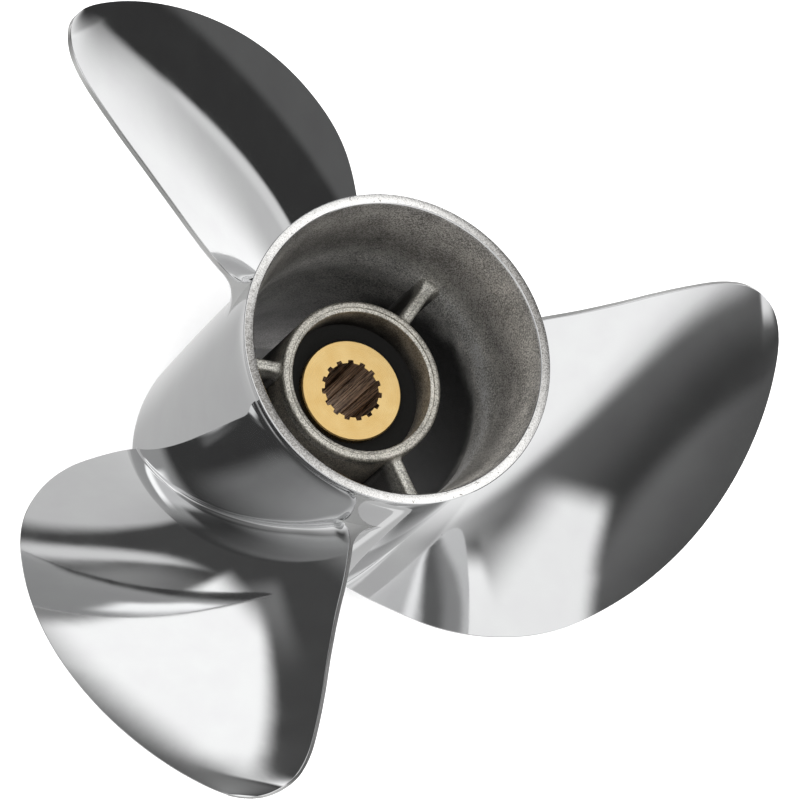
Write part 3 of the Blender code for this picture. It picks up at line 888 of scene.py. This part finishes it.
def broached_bore():
    """Brass, broached and stained by grease: reads as dark brown with lines along the splines,
    painted bright as highlights. The real lines are about 0.2 mm wide."""
    material, tree, place = new_material("greasy_brass_splines")
    lines = speckle(tree, place, size=0.5, detail=3.0, rough=0.7, stretch=(1, 1, 40))
    share = add_node(tree, "MapRange", Value=lines, From_Min=0.4, From_Max=0.6)
    # painted highlight: the lines along the splines are painted near white
    greasy, broach_line_highlight = linear("#56443a"), linear("#fbe3cb")
    colour = add_node(tree, "Mix", data_type="RGBA", i0=share, i6=greasy, i7=broach_line_highlight)
    rough = add_node(tree, "MapRange", Value=lines, **NOISE_SPAN, To_Min=0.3, To_Max=0.5)
    relief = add_node(tree, "Bump", Height=lines, Distance=0.06 * MM)
    return finish_material(
        material, Metallic=1.0, Base_Color=colour, Roughness=rough, Normal=relief
    )


def studio_floor():
    """Matt white paper roll: reads as plain white with the faintest mottle."""
    material, tree, place = new_material("white_paper_floor")
    mottle = speckle(tree, place, size=6.0)
    dull, bright = linear("#f7f7f7"), linear("#fbfbfb")
    colour = add_node(tree, "Mix", data_type="RGBA", i0=mottle, i6=dull, i7=bright)
    return finish_material(material, Base_Color=colour, Roughness=0.9)


# The studio round the propeller, by azimuth and elevation of the direction it is seen in, in
# degrees. Azimuth runs from -30 to 330. Each panel has a name, a radiance and the edges that bound
# it, and later panels cover earlier ones. An edge has the side that it keeps, its place and its
# softness, and where it slants, the origin along it, its slope and its curve.
FLOOR_LIGHT = 0.61
TENT_LIGHT = 1.39
AMBIENT_LIGHT = 2.3
AZIMUTH_START = 30.0
HORIZON = ("above", -2, 6)
WHITE = (1, 1, 1, 1)
PANELS = (
    ("ceiling", 1.5, ("above", 49.1, 1.3)),
    (
        "low_tent_right", 1.03,
        ("right", -30, 2), ("left", 62, 4), ("above", -45, 6), ("below", 14, 6),
    ),
    ("grey_flag", 0.143, ("left", 60, 4), ("above", -12.8, 1.3, 22.9, 0.76), ("below", 47, 5.4)),
    (
        "black_flag", 0.0476,
        ("left", 60, 4), ("above", -12.8, 1.3, 22.9, 0.76), ("below", 11.2, 1.4, 5, 0.06, 0.012),
    ),
    (
        "side_light", 0.755,
        ("below", -1.3, 1.5, 22.9, 0.92), ("below", 11.2, 7.2, 37, -0.68), ("left", 62, 4),
        ("above", -45, 6),
    ),
    (
        "side_light_edge", 0.978,
        ("below", -1.3, 1.5, 22.9, 0.92), ("below", 11.2, 7.2, 37, -0.68),
        ("above", -6.6, 2.5, 22.9, 1.22), ("left", 32.2, 1.3),
    ),
    (
        "side_light_core", 1.41,
        ("right", 36.1, 7.2, 0, 0.14), ("below", -1.3, 1.5, 22.9, 0.92),
        ("below", 11.2, 7.2, 37, -0.68), ("left", 62, 4), ("above", -45, 6),
    ),
    (
        "dark_wall", 0.0802,
        ("right", 62, 4), ("left", 195.4, 13.9), ("above", -28.7, 4.7), ("below", 47.3, 19.9),
    ),
    ("table_edge", 0.776, ("right", 62, 4), ("left", 104.3, 22), ("below", 6.4, 1.9, 79.5, -0.88)),
    (
        "table", 0.84,
        ("right", 62, 4), ("left", 195.4, 13.9), ("below", -20.7, 12.3), ("above", -45, 6),
    ),
    ("table_shade", 0.6, ("right", 98, 2), ("left", 146, 4), ("below", -9.5, 3), ("above", -48, 4)),
    (
        "table_mid", 1.2,
        ("right", 132.5, 2), ("left", 163, 12), ("below", -13.9, 1.6), ("above", -28.7, 4.7),
    ),
    (
        "table_bright", 2.3,
        ("right", 123.5, 2.5), ("left", 133.5, 3), ("below", -14, 2.5),
        ("above", -20, 1.8, 120, -0.8),
    ),
    (
        "wall_streak", 0.35,
        ("right", 76, 2), ("left", 102.1, 11.9), ("above", 4.7, 2.3, 94, -0.33, 0.0346),
        ("below", 22, 0.8),
    ),
    (
        "strip_light_left", 0.982,
        ("above", 3.9, 1.4, 88.5, -0.54, 0.0152), ("below", 6.5, 1.6, 88.5, -0.48, 0.0134),
        ("left", 87.8, 6.3),
    ),
    (
        "strip_light_right", 0.945,
        ("above", 1.8, 1, 94, -0.2, 0.0259), ("below", 3.9, 0.6, 94, -0.26, 0.0186),
        ("right", 80.2, 1.8), ("left", 104.4, 9.3),
    ),
    (
        "box_halo", 0.3,
        ("right", 111.5, 21.4), ("left", 121.5, 2), ("above", 7, 2), ("below", 17.3, 6.1),
    ),
    (
        "big_box", 1.49,
        ("above", 4.6, 1.3, 109.5, -0.57), ("above", 4.5, 5.2, 109.5, 1.28),
        ("left", 116.8, 1.8, 15, -0.15), ("below", 33.3, 2.8), ("below", 23.7, 3.8, 94.2, 0.74),
    ),
    (
        "far_wall", 0.361,
        ("right", 137.9, 8.6, 2, 0.59), ("left", 195.4, 13.9), ("above", 0.2, 9.1),
        ("below", 38.7, 3.3),
    ),
    (
        "far_wall_end", 0.643,
        ("right", 171.9, 22), ("left", 195.4, 13.9), ("above", 0.2, 9.1), ("below", 38.7, 3.3),
    ),
    (
        "left_low_wall", 0.615,
        ("right", 181.3, 13.5), ("left", 236.9, 21.4), ("below", 24.7, 0.6), ("above", -28.8, 12),
    ),
    (
        "roof_flag", 0.221,
        ("right", 240.2, 22), ("above", 36.3, 3.3, 264, 0.4), ("left", 320.2, 8.1),
        ("below", 64.8, 8.7),
    ),
    (
        "roof_flag_dark", 0.122,
        ("right", 225.8, 5.9), ("above", 38.9, 11.3, 264, 0.38), ("left", 320.2, 8.1),
        ("below", 64.8, 8.7),
    ),
    (
        "roof_flag_core", 0.0591,
        ("right", 224.5, 2), ("above", 49.8, 4.1, 264, 0.18), ("left", 320.2, 8.1),
        ("below", 64.8, 8.7),
    ),
    (
        "roof_grey", 0.184,
        ("right", 196, 4), ("left", 320.2, 8.1), ("above", 52.6, 2.2, 236, 0.02, 0.0036),
        ("below", 68.7, 12.9),
    ),
    (
        "roof_grey_far", 0.0868,
        ("right", 196, 4), ("left", 320.2, 8.1), ("above", 59.1, 5.4, 236, 0.12, -0.0014),
        ("below", 68.7, 12.9),
    ),
    (
        "roof_box_shade", 0.387,
        ("right", 196, 4), ("left", 236.4, 5.9), ("above", 38.9, 1.1, 222, -0.47),
        ("below", 44.8, 0.6, 222, -0.16),
    ),
    (
        "roof_box", 1.3,
        ("right", 196, 4), ("left", 250.2, 4.6, 42, -0.62), ("above", 40.2, 5),
        ("below", 51.6, 1.4, 236, -0.14, 0.0008),
    ),
    (
        "low_left", 1.15,
        ("right", 197.2, 15.2), ("left", 305, 5), ("below", 17.2, 0.5), ("above", -45, 6),
    ),
    (
        "low_left_line", 2.04,
        ("right", 240.5, 2.8, -10, -0.35, 0.0266), ("left", 243.8, 2.3, -10, -0.68, 0.0195),
        ("below", -0.1, 1.3), ("above", -45, 6),
    ),
    (
        "low_left_dark", 0.254,
        ("right", 244.9, 2.1, -10, -0.61, 0.0356), ("left", 254.9, 0.5, -10, -1.21, 0.0423),
        ("below", -0.1, 1.3), ("above", -45, 6),
    ),
    (
        "low_left_mid", 0.569,
        ("right", 250.3, 3.3, -10, -0.94, 0.0353), ("left", 254.9, 0.5, -10, -1.21, 0.0423),
        ("below", -0.1, 1.3), ("above", -45, 6),
    ),
    (
        "low_left_white", 1.26,
        ("right", 253.3, 2, -10, -1.16, 0.0446), ("left", 310, 5), ("below", -0.1, 1.3),
        ("above", -45, 6),
    ),
)


def edge_mask(tree, angles, done, side, place, softness, origin=0, slope=0, curve=0):
    """Returns a mask that turns softly from 0 to 1 across a line in azimuth and elevation. Done
    holds the masks that are there already, because panels share edges."""
    key = (side, place, softness, origin, slope, curve)
    if key in done:
        return done[key]
    azimuth, elevation = angles
    across, along = (elevation, azimuth) if side in ("above", "below") else (azimuth, elevation)
    if slope or curve:
        if origin:
            along = add_node(tree, "Math", operation="SUBTRACT", i0=along, i1=origin)
        bend = slope
        if curve:
            bend = add_node(
                tree, "Math", operation="MULTIPLY_ADD", i0=along, i1=curve, i2=slope
            )
        line = add_node(tree, "Math", operation="MULTIPLY", i0=along, i1=bend)
        across = add_node(tree, "Math", operation="SUBTRACT", i0=across, i1=line)
    low, high = place - softness, place + softness
    if side in ("below", "left"):
        low, high = high, low
    done[key] = add_node(
        tree, "MapRange", interpolation_type="SMOOTHSTEP", Value=across, From_Min=low, From_Max=high
    )
    return done[key]


def studio_world():
    """A white tent with flags and softboxes for reflections, and an even light for all else."""
    world = bpy.data.worlds.new("studio")
    bpy.context.scene.world = world
    world.use_nodes = True
    tree = world.node_tree
    direction = add_node(tree, "TexCoord").outputs["Generated"]
    xyz = add_node(tree, "SeparateXYZ", Vector=direction).outputs
    turn = add_node(tree, "Math", operation="ARCTAN2", i0=xyz["Y"], i1=xyz["X"])
    turn = add_node(
        tree, "Math", operation="MULTIPLY_ADD", i0=turn, i1=math.degrees(1), i2=AZIMUTH_START
    )
    turn = add_node(tree, "Math", operation="FLOORED_MODULO", i0=turn, i1=360.0)
    azimuth = add_node(tree, "Math", operation="SUBTRACT", i0=turn, i1=AZIMUTH_START)
    rise = add_node(tree, "Math", operation="ARCSINE", i0=xyz["Z"])
    elevation = add_node(tree, "Math", operation="MULTIPLY", i0=rise, i1=math.degrees(1))
    angles, done = (azimuth, elevation), {}
    horizon = edge_mask(tree, angles, done, *HORIZON)
    light = add_node(tree, "MapRange", Value=horizon, To_Min=FLOOR_LIGHT, To_Max=TENT_LIGHT)
    for name, radiance, *edges in PANELS:
        mask = edge_mask(tree, angles, done, *edges[0])
        for other in edges[1:]:
            both = edge_mask(tree, angles, done, *other)
            mask = add_node(tree, "Math", operation="MULTIPLY", i0=mask, i1=both)
        light = add_node(
            tree, "Mix", label=name, data_type="FLOAT", i0=mask, i2=light, i3=radiance
        )
    studio = add_node(tree, "Background", Color=WHITE, Strength=light)
    ambient = add_node(tree, "Background", Color=WHITE, Strength=AMBIENT_LIGHT)
    glossy = add_node(tree, "LightPath").outputs["Is Glossy Ray"]
    shader = add_node(tree, "MixShader", i0=glossy, i1=ambient, i2=studio)
    tree.nodes.remove(tree.nodes["Background"])
    tree.links.new(shader.outputs[0], tree.nodes["World Output"].inputs["Surface"])


def make_camera():
    """The camera, at the photograph's viewing angle."""
    camera = bpy.data.cameras.new("camera")
    camera.lens = CAMERA_LENS
    camera.sensor_width = CAMERA_SENSOR
    placed = bpy.data.objects.new("camera", camera)
    bpy.context.scene.collection.objects.link(placed)
    forward = (CAMERA_AIM - CAMERA_AT).normalized()
    level = forward.to_track_quat("-Z", "Y").to_matrix()
    rolled = level @ Matrix.Rotation(math.radians(CAMERA_ROLL), 3, "Z")
    placed.matrix_world = Matrix.Translation(CAMERA_AT) @ rolled.to_4x4()
    bpy.context.scene.camera = placed


def make_floor():
    """The paper floor. It stays out of reflections, which show the studio's own floor tone."""
    mesh = bpy.data.meshes.new("floor")
    half = FLOOR_WIDTH / 2
    corners = [(-half, -half, 0), (half, -half, 0), (half, half, 0), (-half, half, 0)]
    mesh.from_pydata(corners, [], [(0, 1, 2, 3)])
    floor = bpy.data.objects.new("floor", mesh)
    bpy.context.scene.collection.objects.link(floor)
    floor.data.materials.append(studio_floor())
    floor.visible_glossy = False


def dress(piece, nodes, finishes=()):
    """Gives a piece its materials and its place in the frame."""
    for finish in finishes:
        piece.data.materials.append(finish)
    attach(piece, "root")
    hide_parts(*nodes)


steel = polished_steel()
# The soot on these castings is partly painted shade, darker lower down and where the tube's shadow
# falls
cast = blasted_steel(
    "blasted_flare_wall", WALL_TONES, rough=0.55, soot_and_shade="#1b1a19",
    clear=(52, 74), lean=(0.79, 0.14), painted_light_side=(0.0052, -0.003), unshaded_x=(25, 5),
)
tube_wall = blasted_steel(
    "sooty_shaded_tube_wall", TUBE_TONES, rough=0.6, soot_and_shade="#272523", clear=(86, 122), lean=(0.0, 0.6)
)
lip = blasted_steel("blasted_tube_lip", LIP_TONES, rough=0.42, soot_and_shade="#5d5a55", clear=(112, 117))
rib_cast = blasted_steel("blasted_rib", RIB_TONES, rough=0.45, soot_and_shade="#4a4744", clear=(108, 118))
make_camera()
tree = repeat_tree()
blade = mark_second_finish(blade_mesh())
dress(make_shell(), ("barrel", "exhaust_flare"), (steel, machined_rim(), cast))
dress(make_hub_tube(), ("hub_tube",), (tube_wall, lip))
dress(make_bush(), ("rubber_bush",), (moulded_rubber(),))
brass = (turned_brass(), broached_bore())
sleeve = repeated("brass_spline_sleeve", spline_sector(), tree, SPLINE_COUNT, brass)
dress(sleeve, ("brass_sleeve",))
ribs = repeated("hub_ribs", rib_mesh(), tree, RIB_COUNT, (rib_cast,), FIRST_RIB_ANGLE)
dress(ribs, ("rib_1", "rib_2", "rib_3"))
blades = repeated("blades", blade, tree, BLADE_COUNT, (steel, ground_edge()))
dress(blades, ("blade_1", "blade_2", "blade_3"))
make_floor()
studio_world()
bpy.context.scene.view_settings.view_transform = "Standard"
